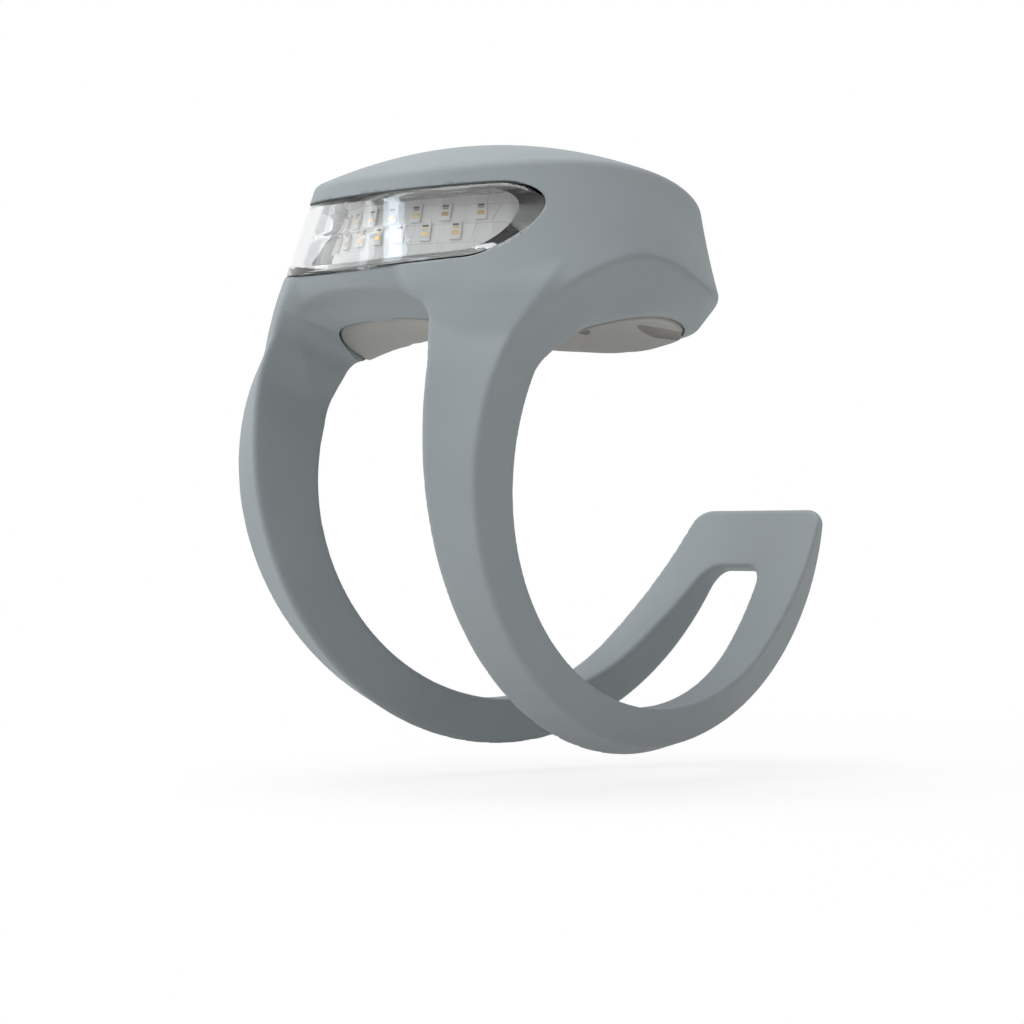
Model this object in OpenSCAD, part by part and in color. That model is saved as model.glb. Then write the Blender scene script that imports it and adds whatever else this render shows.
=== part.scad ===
// Strap-on bicycle tail light: a silicone sleeve whose two arms join in a hook, round a hard pod.
// The origin is the axis of the relaxed strap loop. +X runs along the tube, the lens looks to -Y, +Z is up.

/* [Strap] */
// Inside radius of the relaxed loop
loop_r = 16; // [15.5:0.1:17]
// Half width of the strap's outer face at its five stations, from the head to the tip
outer_half = [14.5, 14.05, 11.5, 8, 6]; // each 5 to 16
// Half width of the strap's inner face at its five stations
inner_half = [12.7, 12.7, 11.2, 9.6, 7.1]; // each 5 to 14
// Half width of the slot between the arms at its five stations
slot_half = [9.5, 9.8, 8.35, 5.8, 1.7]; // each 2 to 10
// Height of the slot's edge over the loop's circle at the five stations
slot_edge_h = [7.9, 5.9, 3.95, 3.05, 2.5]; // each 1 to 8
// Height of the arms' outer edge over the loop's circle at the five stations
side_edge_h = [3.9, 4.4, 3, 2.9, 4.05]; // each 1 to 5
// Least thickness of the strap near its tip
tip_t = 1.4; // [0.8:0.1:2]
// Angle at which the tip ends, from straight up and round the front
tip_angle = 264.5; // [258:0.5:270]
// How far the tip flares out from the loop's circle
tip_flare = 2.45; // [0:0.05:4]
// Corner radius of the tip
tip_corner_r = 2.2; // [0.5:0.1:3]
// Angle at which the slot ends
slot_end_angle = 249; // [240:0.5:251]
// Corner radius of the slot's end
slot_corner_r = 1.6; // [0.4:0.1:2]
// Rounding of the strap's long edges
edge_round = 0.35; // [0.1:0.05:0.8]

/* [Head] */
// Mean radius of the head's plan outline at the reference height
head_r = 15.65; // [15.2:0.05:16.5]
// Place of the head's middle along Y
head_y = -6.85; // [-7.5:0.05:-6.5]
// How much the outline's front is flattened and its corners filled
plan_lobes = [-0.37, 0.4, 0.12]; // each -0.6 to 0.6
// Draft of the side walls: mean, front to rear, and sides to ends
wall_draft = [0.324, -0.1, -0.195]; // each -0.3 to 0.4
// Height of the crowned top
dome_z = 24.2; // [23.8:0.1:25.5]
// Place of the crown's highest point along Y
dome_y = -7.75; // [-9:0.25:-6]
// Radius of the crown across the head
dome_rx = 36; // [30:1:60]
// Radius of the crown from front to rear
dome_ry = 25.5; // [22:0.5:40]
// Rounding of the edge round the top
rim_round = 0.45; // [0.2:0.05:0.8]
// Height of the shoulder edge round the head, against the angle from the rear
shoulder_z = [[0, 13], [50, 13.15], [63, 13.35], [71, 13.9], [79, 14.75], [87, 15.2], [94, 15.2], [100, 14.8],
              [106, 14.15], [112, 13.2], [121, 11.2], [132, 10.8], [142, 12.6], [152, 13.7], [180, 14.1]];
// Greatest radius of the shoulder edge, beside the arms
shoulder_r = 17.1; // [16.6:0.05:17.5]
// Radius of the rim under the head, against the angle from the rear
rim_r = [[0, 12.65], [20, 12.95], [40, 13.6], [60, 13.25], [75, 13.05], [90, 12.85], [102, 12.45],
         [110, 12.6], [118, 14], [130, 14.4], [145, 13.6], [160, 13.1], [180, 13.05]];
// How far the rim is lifted beside the saddle
rim_lift = 0.5; // [0:0.05:0.7]
// Where the thumb-nail recess starts, left of the cover's rear edge
nail_x = 4.8; // [3.5:0.1:6]
// Place of the thumb-nail recess along Y
nail_y = 3.7; // [3:0.1:4.5]
// Radius of the thumb-nail recess
nail_w = 1.6; // [1:0.1:2]

/* [Saddle] */
// Radius of the groove that sits on the tube
groove_r = 13.6; // [12.5:0.1:16]
// Place of the groove's axis along Y
groove_y = -3.4; // [-5:0.1:-2]
// Height of the groove's crest
crest_z = 13.1; // [12.6:0.05:13.2]
// How much the groove drops towards the sides, as a radius of crown
saddle_crown_r = 40; // [30:1:80]
// Height of the ridge between the groove and the front slope
ridge_z = 10.2; // [9.8:0.1:10.8]
// Rise of the front slope for each millimetre forward
front_slope = 0.21; // [0.1:0.01:0.3]

// Radius of the battery cover's outline, against the angle from the rear
cover_outline_r = [[0, 12.25], [20, 12.5], [40, 13.1], [60, 12.8], [75, 12.55], [90, 12.15], [105, 11.5],
                   [119, 10.75], [135, 11.35], [150, 11.6], [165, 11], [180, 10.5]];

/* [Skin and housing] */
// Thickness of the silicone round the pod
skin_t = 1.3; // [1:0.05:1.5]
// Thickness of the silicone over the pod
skin_top_t = 1; // [0.8:0.05:1.2]
// Wall of the housing
housing_t = 1.1; // [0.8:0.05:1.2]
// Roof of the housing
roof_t = 1; // [0.8:0.05:1.2]
// Height above which the housing's wall follows the outside
knee_z = 15.3; // [15.1:0.05:15.4]
// Radius of the housing's foot
foot_r = 13.55; // [13.5:0.01:13.65]
// Height of the housing's lower face
housing_low_z = 13.5; // [13.45:0.05:13.6]
// Thickness of the housing's floor
floor_t = 0.8; // [0.6:0.05:0.9]
// Gap between pieces that seat in each other
seat_gap = 0.05; // [0.02:0.01:0.08]
// Gap round the battery cover
cover_gap = 0.12; // [0.08:0.01:0.2]

/* [Window and lens] */
// Half width of the window
window_half = 12.95; // [12.4:0.05:13.2]
// Height of the window's lower edge in the middle
window_low_z = 14.5; // [14.4:0.05:14.8]
// Height of the window's upper edge in the middle
window_high_z = 19.85; // [19.6:0.05:20]
// Corner radius of the window
window_corner_r = 2.6; // [1.5:0.1:2.65]
// Rise of the window towards its ends, as a radius
window_bow_r = 111; // [80:1:200]
// Thickness of the lens's rim, seen from the front
lens_rim_t = 0.55; // [0.4:0.05:0.8]
// Thickness of the lens's front
lens_front_t = 1; // [0.8:0.05:1.4]
// Depth of the lens from its front to the light board
lens_depth = 3.05; // [2.6:0.05:3.2]

/* [Light board] */
// Thickness of the light board
led_board_t = 0.3; // [0.15:0.05:0.4]
// Thickness of the carrier behind it
carrier_t = 1.2; // [0.8:0.05:1.4]
// Spacing of the lights along a row
led_pitch = 2; // [1.9:0.05:2.1]
// Lights in the upper row
upper_count = 9; // [5:2:9]
// Lights in the lower row
lower_count = 8; // [4:2:8]
// Height of the upper row
upper_row_z = 18.35; // [18.2:0.05:18.4]
// Height of the lower row
lower_row_z = 17; // [16.4:0.05:17.3]
// Width of a light
led_w = 0.8; // [0.6:0.05:1]
// Height of a light
led_h = 1.5; // [1.2:0.05:1.5]
// How far a light stands out from the board
led_t = 0.4; // [0.3:0.05:0.7]

/* [Battery] */
// Diameter of the coin cell
cell_d = 20; // [19.6:0.1:20]
// Thickness of the coin cell
cell_t = 3.2; // [2:0.1:3.2]
// Place of the cell's middle along Y
cell_y = -5; // [-5.2:0.05:-4.9]
// Height of the cell's lower face
cell_low_z = 14.45; // [14.4:0.01:14.5]
// Wall of the tray round the cell
tray_t = 0.8; // [0.5:0.05:0.9]
// Thickness of the contact springs
contact_t = 0.15; // [0.1:0.01:0.2]

/* [Main board] */
// Thickness of the main board
board_t = 0.8; // [0.6:0.05:0.9]
// Gap between the cell and the main board
board_gap = 0.3; // [0.25:0.01:0.35]
// Side of the controller chip
chip_w = 4; // [3:0.1:4.5]
// Height of the controller chip
chip_t = 0.8; // [0.6:0.05:0.9]

/* [Button] */
// How far the button travels
press_travel = 0.25; // [0.15:0.05:0.3]
// Side of the switch
switch_w = 4.5; // [4:0.1:5]
// Height of the switch
switch_t = 1.5; // [1.3:0.05:1.6]
// Diameter of the button's shank
button_d = 4.4; // [3.6:0.1:5]
// Diameter of the button's flange
button_flange_d = 6.4; // [6:0.1:7]
// Running gap round the button and the switch stem
run_gap = 0.08; // [0.05:0.01:0.1]

/* [Hidden] */
$fn = 64;
eps = 0.01;

// The strap's stations, in degrees from straight up and round the front
stations = [57, 85, 145, 205, 262];
strap_start = 50;
flare_start = 222;
slot_start_inner = 48;
slot_start_outer = 61.5;

// The head's reference height and the number of points round it
plan_z = 15;
plan_n = 60;
saddle_front_y = -11.7;

// Heights that follow from the driving sizes
floor_top_z = housing_low_z + floor_t;
cell_top_z = cell_low_z + cell_t;
board_low_z = cell_top_z + board_gap;
board_top_z = board_low_z + board_t;
switch_top_z = board_top_z + switch_t;
stem_top_z = switch_top_z + 0.35;
button_low_z = stem_top_z + 0.02;
flange_t = 0.8;
housing_inset = skin_t + seat_gap;
housing_drop = skin_top_t + seat_gap;
inner_inset = housing_inset + housing_t;
inner_drop = housing_drop + roof_t;
spigot_r = cell_d / 2 - 0.2;
opening_r = cell_d / 2 + 0.4;
seal_t = opening_r - spigot_r - 0.1;
inner_foot_r = foot_r - 1.2 * housing_t;
post_x = head_r - 6.45;
connector_y = head_y - head_r + 8.31;
post_y = -3.6;
post_r = 0.9;
pin_r = 0.45;

// A smooth step from 0 to 1, and a bell that is 1 at 0
function clamp01(u) = max(0, min(1, u));
function smooth(u) = let (v = clamp01(u)) v * v * (3 - 2 * v);
function bell(u) = exp(-u * u);

// The curve through a value at each of the strap's stations
function weight(i, a) =
    let (others = [for (j = [0 : len(stations) - 1])
                       if (j != i) (a - stations[j]) / (stations[i] - stations[j])])
    others[0] * others[1] * others[2] * others[3];
function along_strap(values, a) =
    let (terms = [for (i = [0 : len(stations) - 1]) values[i] * weight(i, a)])
    terms * [1, 1, 1, 1, 1];

// A point at an angle round the loop, with 0 straight up and 90 at the front
function around(x, r, a) = [x, -r * sin(a), r * cos(a)];

// The width that is left where a corner of radius r rounds an end that is s away
function corner_cut(s, r) = s >= r ? 0 : r - sqrt(max(0, r * r - (r - s) * (r - s)));

// The head's plan radius at an angle from the rear, at a height, and drawn in by an inset
function plan_r(a, z, inset) =
    head_r + plan_lobes[0] * cos(2 * a) + plan_lobes[1] * cos(3 * a) + plan_lobes[2] * cos(4 * a)
    - (wall_draft[0] + wall_draft[1] * cos(a) + wall_draft[2] * cos(2 * a)) * (z - plan_z) - inset;
function plan_point(a, r, z) = [-r * sin(a), head_y + r * cos(a), z];

// The crowned top, lowered by a drop, and the height at which a wall meets it
function crown_z(x, y, drop) =
    dome_z - drop - x * x / (2 * dome_rx) - (y - dome_y) * (y - dome_y) / (2 * dome_ry);
function wall_top_z(a, inset, drop, z = 21, n = 5) =
    n == 0 ? z
    : let (p = plan_point(a, plan_r(a, z, inset), z))
      wall_top_z(a, inset, drop, crown_z(p[0], p[1], drop), n - 1);

// The underside: a groove for the tube, then a slope up to the front
function groove_z(x, y) =
    crest_z - groove_r + sqrt(max(1, groove_r * groove_r - (y - groove_y) * (y - groove_y)))
    - x * x / (2 * saddle_crown_r);
function slope_z(x, y) = ridge_z + front_slope * (saddle_front_y - y) - x * x / (2 * saddle_crown_r);
function under_z(x, y) = y < saddle_front_y ? max(slope_z(x, y), groove_z(x, y)) : groove_z(x, y);

// Radius of the battery cover's outline, at an angle from the rear
function fold(a) = a > 180 ? 360 - a : a;
function cover_r(a) = lookup(fold(a), cover_outline_r);

// Triangles between rings of n points, which run anticlockwise seen from the last ring
function side_faces(m, n) = [
    for (i = [0 : m - 2], j = [0 : n - 1])
        let (k = (j + 1) % n, low = i * n, high = low + n)
        each [[low + j, high + j, high + k], [low + j, high + k, low + k]]
];
function end_faces(m, n) = [
    for (j = [0 : n - 1])
        let (k = (j + 1) % n, last = (m - 1) * n)
        each [[m * n, j, k], [m * n + 1, last + k, last + j]]
];
module loft(rings, first_middle, last_middle) {
    n = len(rings[0]);
    m = len(rings);
    points = concat([for (ring = rings) each ring], [first_middle, last_middle]);
    polyhedron(points, concat(side_faces(m, n), end_faces(m, n)), convexity = 8);
}

function plan_angles() = [for (i = [0 : plan_n - 1]) 360 * i / plan_n];

// Rings from a wall's top edge in over the crown
function crown_ring(inset, drop, share) = [
    for (a = plan_angles())
        let (z = wall_top_z(a, inset, drop), r = share * plan_r(a, z, inset), p = plan_point(a, r, z))
        [p[0], p[1], crown_z(p[0], p[1], drop)]
];

// A drafted block in the head's outline, with a flat foot drawn in to a radius and the crowned top
module pod(inset, drop, low_z, foot_r = 30) {
    foot = [for (a = plan_angles()) plan_point(a, min(foot_r, plan_r(a, low_z, inset)), low_z)];
    knee = [for (a = plan_angles()) plan_point(a, plan_r(a, knee_z, inset), knee_z)];
    loft([foot, knee, for (share = [1, 0.75, 0.5, 0.25]) crown_ring(inset, drop, share)],
         [0, head_y, low_z], [0, head_y, crown_z(0, head_y, drop)]);
}

// The head's outside: underside, rim, undercut, shoulder, wall, rounded edge and crown
function cover_ring(r_add) = [
    for (a = plan_angles())
        let (p = plan_point(a, cover_r(a) + r_add, 0)) [p[0], p[1], under_z(p[0], p[1])]
];
function rim_ring() = [
    for (a = plan_angles())
        let (p = plan_point(a, lookup(fold(a), rim_r), 0))
        [p[0], p[1], under_z(p[0], p[1]) + rim_lift * bell((fold(a) - 95) / 14)]
];
function shoulder_ring() = [
    for (a = plan_angles())
        let (z = lookup(fold(a), shoulder_z)) plan_point(a, min(shoulder_r, plan_r(a, z, 0)), z)
];
function undercut_ring() =
    let (low = rim_ring(), high = shoulder_ring(), angles = plan_angles())
    [for (i = [0 : plan_n - 1])
        let (front = smooth((fold(angles[i]) - 120) / 30),
             out = front * 0.7 * [sin(-angles[i]), cos(angles[i]), -0.6])
        (low[i] + high[i]) / 2 + out];
function wall_top_ring() = [
    for (a = plan_angles())
        let (z = wall_top_z(a, 0, 0) - rim_round) plan_point(a, plan_r(a, z, 0), z)
];
function crown_edge_ring() = [
    for (a = plan_angles())
        let (z = wall_top_z(a, 0, 0), p = plan_point(a, plan_r(a, z, rim_round), z))
        [p[0], p[1], crown_z(p[0], p[1], 0)]
];
function wall_low_ring() = [
    for (a = plan_angles())
        let (z = max(window_low_z - 0.5, lookup(fold(a), shoulder_z) + 0.3)) plan_point(a, plan_r(a, z, 0), z)
];
module head() {
    loft([cover_ring(0), rim_ring(), undercut_ring(), shoulder_ring(), wall_low_ring(), wall_top_ring(),
          crown_edge_ring(),
          for (share = [0.8, 0.55, 0.3]) crown_ring(0, 0, share)],
         [0, head_y, under_z(0, head_y)], [0, head_y, crown_z(0, head_y, 0)]);
}

// One section across the strap, with its outer edges rounded
function flare(a) = a < flare_start ? 0 : tip_flare * pow((a - flare_start) / 40, 2);
function tip_cut(a) = corner_cut((tip_angle - a) * PI / 180 * (loop_r + tip_flare), tip_corner_r);
function rooted(a) = max(a, stations[0]);
function strap_half(a) = along_strap(outer_half, rooted(a)) - tip_cut(a);
function strap_inner_half(a) = along_strap(inner_half, rooted(a)) - tip_cut(a);
function strap_section(a) =
    let (r_in = loop_r + flare(a),
         x_in = strap_inner_half(a),
         x_out = strap_half(a),
         x_slot = min(along_strap(slot_half, rooted(a)), x_out - 1),
         sink = 0.12 * (rooted(a) - a),
         r_slot = max(loop_r + along_strap(slot_edge_h, rooted(a)) - sink, r_in + tip_t),
         r_side = max(loop_r + along_strap(side_edge_h, rooted(a)) - sink, r_in + tip_t),
         e = edge_round,
         half = [[0, r_in], [x_in - e, r_in], [x_in + (x_out - x_in) * 0.1, r_in + e],
                 [x_out, r_side - e], [x_out - e, r_side + (r_slot - r_side) * 0.1],
                 [x_slot - 0.6, r_slot + 0.1], [0, r_slot + 0.3]])
    [for (p = half) around(p[0], p[1], a),
     for (i = [5 : -1 : 1]) around(-half[i][0], half[i][1], a)];
strap_angles = concat([for (i = [0 : 34]) strap_start + (256 - strap_start) * i / 34],
                      [for (s = [0.62, 0.8, 0.92, 0.98, 1]) 256 + (tip_angle - 256) * s]);
module strap_band() {
    last = tip_angle;
    loft([for (a = strap_angles) strap_section(a)],
         around(0, loop_r + 3, strap_start), around(0, loop_r + flare(last) + 0.6, last));
}

// The slot between the arms, whose upper end follows the head's front slope
slot_angles = concat([for (i = [0 : 30]) slot_start_outer + (246 - slot_start_outer) * i / 30],
                     [for (s = [0.4, 0.7, 0.9, 1]) 246 + (slot_end_angle - 246) * s]);
module slot_cutter() {
    low_r = 11;
    high_r = 34;
    function slot_x(a) =
        along_strap(slot_half, a)
        - corner_cut((slot_end_angle - a) * PI / 180 * loop_r, slot_corner_r);
    function section(x, a_in, a_out) =
        [around(-x, low_r, a_in), around(x, low_r, a_in),
         around(x, high_r, a_out), around(-x, high_r, a_out)];
    rings = [
        for (a = slot_angles)
            let (back = (slot_start_outer - slot_start_inner) * (1 - smooth((a - slot_start_outer) / 25)))
            section(slot_x(a), a - back, a)
    ];
    loft(rings, around(0, 20, (slot_start_inner + slot_start_outer) / 2), around(0, 20, slot_end_angle));
}

// Outline of the window and of what fits in it, seen from the front
function window_corner(quarter, w, h, r) =
    let (x = (quarter == 0 || quarter == 3 ? 1 : -1) * (w - r), z = (quarter < 2 ? 1 : -1) * (h - r))
    [for (i = [0 : 9]) let (a = 90 * quarter + 10 * i) [x + r * cos(a), z + r * sin(a)]];
function window_edge(side, w, h, r) = [for (i = [5 : -1 : -5]) [side * i * (w - r) / 6, side * h]];
function window_outline(grow) =
    let (w = window_half + grow,
         h = (window_high_z - window_low_z) / 2 + grow,
         r = window_corner_r + grow,
         flat = concat(window_corner(0, w, h, r), window_edge(1, w, h, r), window_corner(1, w, h, r),
                       window_corner(2, w, h, r), window_edge(-1, w, h, r), window_corner(3, w, h, r)))
    [for (p = flat) [p[0], (window_low_z + window_high_z) / 2 + p[1] + p[0] * p[0] / (2 * window_bow_r)]];
module window_prism(grow, back_y = -9) {
    translate([0, back_y, 0])
        rotate([90, 0, 0])
            linear_extrude(20)
                polygon(window_outline(grow));
}

// A flat outline in plan, extruded between two heights
module plan_slab(points, low_z, high_z) {
    translate([0, 0, low_z])
        linear_extrude(high_z - low_z)
            polygon(points);
}
function cover_outline(r_add) = [
    for (i = [0 : 71]) let (a = 5 * i + 2.3, p = plan_point(a, cover_r(a) + r_add, 0)) [p[0], p[1]]
];

module silicone_sleeve() {
    color([0.58, 0.62, 0.64])
        difference() {
            union() {
                head();
                strap_band();
            }
            slot_cutter();
            pod(skin_t, skin_top_t, housing_low_z - seat_gap, foot_r + seat_gap);
            plan_slab(cover_outline(cover_gap), 5, housing_low_z);
            window_prism(0);
        }
}

module lens() {
    color([0.85, 0.88, 0.9, 0.5])
        difference() {
            intersection() {
                pod(0.02, skin_top_t, window_low_z - 1);
                window_prism(-seat_gap);
            }
            pod(lens_depth, skin_top_t, window_low_z - 2);
            intersection() {
                pod(lens_front_t, skin_top_t, window_low_z - 2);
                window_prism(-seat_gap - lens_rim_t);
            }
        }
}

// Two posts hang from the roof; their ends are staked over the main board
module post_places() {
    for (side = [-1, 1])
        translate([side * post_x, post_y, 0])
            children();
}
module housing() {
    color([0.3, 0.31, 0.32])
        difference() {
            pod(housing_inset, housing_drop, housing_low_z, foot_r);
            difference() {
                pod(inner_inset, inner_drop, floor_top_z, inner_foot_r);
                post_places() {
                    translate([0, 0, board_top_z + eps])
                        cylinder(r = post_r, h = 8);
                    translate([0, 0, board_low_z - 0.2])
                        cylinder(r = pin_r, h = 4);
                    translate([0, 0, board_low_z - 0.2])
                        cylinder(r = post_r, h = 0.2 - eps);
                }
            }
            translate([0, cell_y, housing_low_z - 1])
                cylinder(r = opening_r, h = floor_t + 2);
            window_prism(seat_gap);
            translate([0, dome_y, dome_z - 6])
                cylinder(d = button_d + 2 * run_gap, h = 8);
        }
}

// What the underside leaves free: a crowned groove for the tube and a crowned slope before it
module groove_cutter() {
    translate([0, groove_y, crest_z - groove_r])
        rotate([0, 90, 0])
            rotate_extrude($fn = 96)
                intersection() {
                    translate([groove_r - saddle_crown_r, 0])
                        circle(r = saddle_crown_r, $fn = 128);
                    translate([0, -18])
                        square([30, 36]);
                }
}
module slope_cutter() {
    translate([0, saddle_front_y, ridge_z])
        rotate([-atan(front_slope), 0, 0])
            translate([0, 20, -saddle_crown_r])
                rotate([90, 0, 0])
                    cylinder(r = saddle_crown_r, h = 40, $fn = 128);
}

// Two scoops for a thumb nail, one open to the rim and a short one beside it
module nail_recess() {
    translate([nail_x, nail_y, under_z(nail_x, nail_y) - nail_w * 0.45]) {
        sphere(r = nail_w);
        rotate([0, 90, 0])
            cylinder(r = nail_w, h = 12);
    }
    translate([-2.2, nail_y - 1, under_z(2.2, nail_y - 1) - nail_w * 0.4])
        sphere(r = nail_w * 0.8);
}
module battery_cover() {
    color([0.42, 0.41, 0.4])
        difference() {
            union() {
                plan_slab(cover_outline(0), 5, housing_low_z - cover_gap);
                translate([0, cell_y, housing_low_z - 0.5])
                    cylinder(r = spigot_r, h = floor_top_z - housing_low_z + 0.5 - seat_gap);
            }
            groove_cutter();
            slope_cutter();
            nail_recess();
        }
}

module cover_seal() {
    color([0.15, 0.15, 0.15])
        translate([0, cell_y, housing_low_z - cover_gap + eps])
            rotate_extrude()
                translate([spigot_r + eps, 0])
                    square([seal_t, floor_t - 0.1]);
}

// The light board follows the lens; a short tail joins it to the main board
tail_w = 4;
tail_t = 0.12;
tail_z = board_top_z + 0.62;
module led_board() {
    color([0.83, 0.82, 0.79])
        union() {
            intersection() {
                difference() {
                    pod(lens_depth + eps, skin_top_t, window_low_z - 1);
                    pod(lens_depth + led_board_t, skin_top_t, window_low_z - 2);
                }
                window_prism(-seat_gap - eps);
            }
            translate([-tail_w / 2, connector_y - 3.5, tail_z])
                cube([tail_w, 2.9, tail_t]);
        }
}
module board_carrier() {
    color([0.78, 0.77, 0.75])
        difference() {
            intersection() {
                difference() {
                    pod(lens_depth + led_board_t + seat_gap, skin_top_t, window_low_z - 1);
                    pod(lens_depth + led_board_t + carrier_t, skin_top_t, window_low_z - 2);
                }
                window_prism(-seat_gap - eps);
            }
            translate([-tail_w / 2 - 0.2, connector_y - 6, tail_z - 0.2])
                cube([tail_w + 0.4, 8, 3]);
        }
}

// Lights stand square on the curved board, each a body with a pad at either end
function board_place(x, z) =
    let (reach = [for (a = [90 : 0.5 : 180]) if (plan_r(a, z, lens_depth) * sin(a) <= abs(x)) a])
    reach[0];
module led(x, z) {
    a = board_place(x, z);
    r = plan_r(a, z, lens_depth);
    side = x < 0 ? -1 : 1;
    pad_h = led_h * 0.22;
    lean = atan(wall_draft[0] + wall_draft[1] * cos(a) + wall_draft[2] * cos(2 * a));
    translate([x, head_y + r * cos(a), z])
        rotate([0, 0, side * (180 - a)])
            rotate([-lean, 0, 0]) {
                translate([-led_w / 2, -led_t - 0.03, -led_h / 2 + pad_h])
                    cube([led_w, led_t, led_h - 2 * pad_h]);
                for (end = [-1, 1])
                    translate([-led_w / 2, -led_t * 0.6 - 0.03, end * (led_h - pad_h) / 2 - pad_h / 2])
                        cube([led_w, led_t * 0.6, pad_h]);
            }
}
module led_row(count, z) {
    for (i = [0 : count - 1])
        led((i - (count - 1) / 2) * led_pitch, z);
}
module upper_leds() {
    color([0.95, 0.88, 0.6])
        led_row(upper_count, upper_row_z);
}
module lower_leds() {
    color([0.95, 0.88, 0.6])
        led_row(lower_count, lower_row_z);
}

// Small parts on the main board, each a chip with its two ends
module chip_part(size, x, y, turn = 0) {
    translate([x, y, board_top_z])
        rotate([0, 0, turn])
            translate([-size[0] / 2, -size[1] / 2, eps])
                cube(size);
}
module led_resistors() {
    color([0.1, 0.1, 0.11])
        for (i = [0 : 5])
            chip_part([0.6, 1, 0.35], (i - 2.5) * 1.5, connector_y + 2.6);
}

// The board keeps clear of the roof at the rear and of the carrier at the front
function roof_reach(a) = max([
    for (r = [6 : 0.1 : head_r])
        if (crown_z(r * sin(a), head_y + r * cos(a), inner_drop) > board_top_z + 0.2) r
]);
function board_outline() = [
    for (a = plan_angles())
        let (t = fold(a),
             carrier_back = lens_depth + led_board_t + seat_gap + carrier_t,
             front = carrier_back + 0.15 - inner_inset - 0.3,
             inset = inner_inset + 0.3 + front * smooth((t - 78) / 16),
             p = plan_point(a, min(plan_r(a, board_top_z, inset), roof_reach(a)), 0))
        [p[0], p[1]]
];
module main_board() {
    color([0.1, 0.35, 0.22])
        difference() {
            plan_slab(board_outline(), board_low_z, board_top_z);
            post_places()
                translate([0, 0, board_low_z - 1])
                    cylinder(r = pin_r + 0.05, h = board_t + 2);
        }
}
module controller_chip() {
    color([0.08, 0.08, 0.09])
        chip_part([chip_w, chip_w, chip_t], -5.2, -4.2);
}
module capacitors() {
    color([0.62, 0.5, 0.36]) {
        for (y = [-1.2, 0.6])
            chip_part([1.6, 0.8, 0.8], -5.6, y);
        chip_part([3.2, 1.6, 1.2], 6.4, -1.5, 90);
    }
}
module driver_transistors() {
    color([0.08, 0.08, 0.09])
        for (x = [4.9, 8])
            chip_part([1.3, 2.9, 1], x, -6.2);
}
module flex_connector() {
    color([0.9, 0.88, 0.8])
        difference() {
            chip_part([6, 1.8, 1.1], 0, connector_y);
            translate([-tail_w / 2 - 0.1, connector_y - 1.8, tail_z - 0.05])
                cube([tail_w + 0.2, 1.4, tail_t + 0.1]);
        }
}

stem_d = 2;
stem_depth = 0.9;
module tact_switch() {
    color([0.75, 0.75, 0.76])
        difference() {
            translate([-switch_w / 2, dome_y - switch_w / 2, board_top_z + eps])
                cube([switch_w, switch_w, switch_t - eps]);
            translate([0, dome_y, switch_top_z - stem_depth])
                cylinder(d = stem_d + 2 * run_gap, h = stem_depth + 1);
        }
}
module switch_stem() {
    color([0.7, 0.15, 0.1])
        translate([0, dome_y, switch_top_z - stem_depth + press_travel + 0.1])
            cylinder(d = stem_d, h = stem_top_z - switch_top_z + stem_depth - press_travel - 0.1);
}
module push_button() {
    color([0.12, 0.12, 0.13])
        translate([0, dome_y, button_low_z]) {
            cylinder(d = button_flange_d, h = flange_t);
            cylinder(d = button_d, h = crown_z(0, dome_y + button_d / 2, skin_top_t) - 0.12 - button_low_z);
        }
}

module battery_tray() {
    color([0.2, 0.2, 0.21])
        difference() {
            intersection() {
                translate([0, cell_y, floor_top_z + eps])
                    cylinder(r = cell_d / 2 + 0.15 + tray_t, h = board_low_z - floor_top_z - 2 * eps);
                pod(inner_inset + seat_gap, inner_drop, floor_top_z - eps, inner_foot_r - seat_gap);
            }
            translate([0, cell_y, floor_top_z - 1])
                cylinder(r = cell_d / 2 + 0.15, h = 8);
            translate([-cell_d / 2 - 2, cell_y - 2, floor_top_z - 1])
                cube([3, 4, 8]);
        }
}
module coin_cell() {
    rim = 0.6;
    lid_d = cell_d * 0.89;
    color([0.78, 0.79, 0.8])
        translate([0, cell_y, cell_low_z]) {
            cylinder(d = cell_d, h = cell_t - rim);
            cylinder(d = lid_d, h = cell_t);
        }
}
module positive_contact() {
    color([0.85, 0.75, 0.4]) {
        translate([-cell_d / 2 - contact_t - eps, cell_y - 1.5, cell_low_z + 0.2])
            cube([contact_t, 3, board_low_z - cell_low_z - 0.2 - eps]);
    }
}
module negative_contact() {
    color([0.85, 0.75, 0.4])
        translate([0, cell_y, cell_top_z + eps])
            difference() {
                cylinder(d = 7, h = contact_t);
                translate([0, 0, -1])
                    cylinder(d = 3, h = 3);
            }
}
silicone_sleeve();
lens();
housing();
battery_cover();
cover_seal();
led_board();
board_carrier();
upper_leds();
lower_leds();
led_resistors();
main_board();
controller_chip();
capacitors();
driver_transistors();
flex_connector();
tact_switch();
switch_stem();
push_button();
battery_tray();
coin_cell();
positive_contact();
negative_contact();
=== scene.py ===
import math

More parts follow.
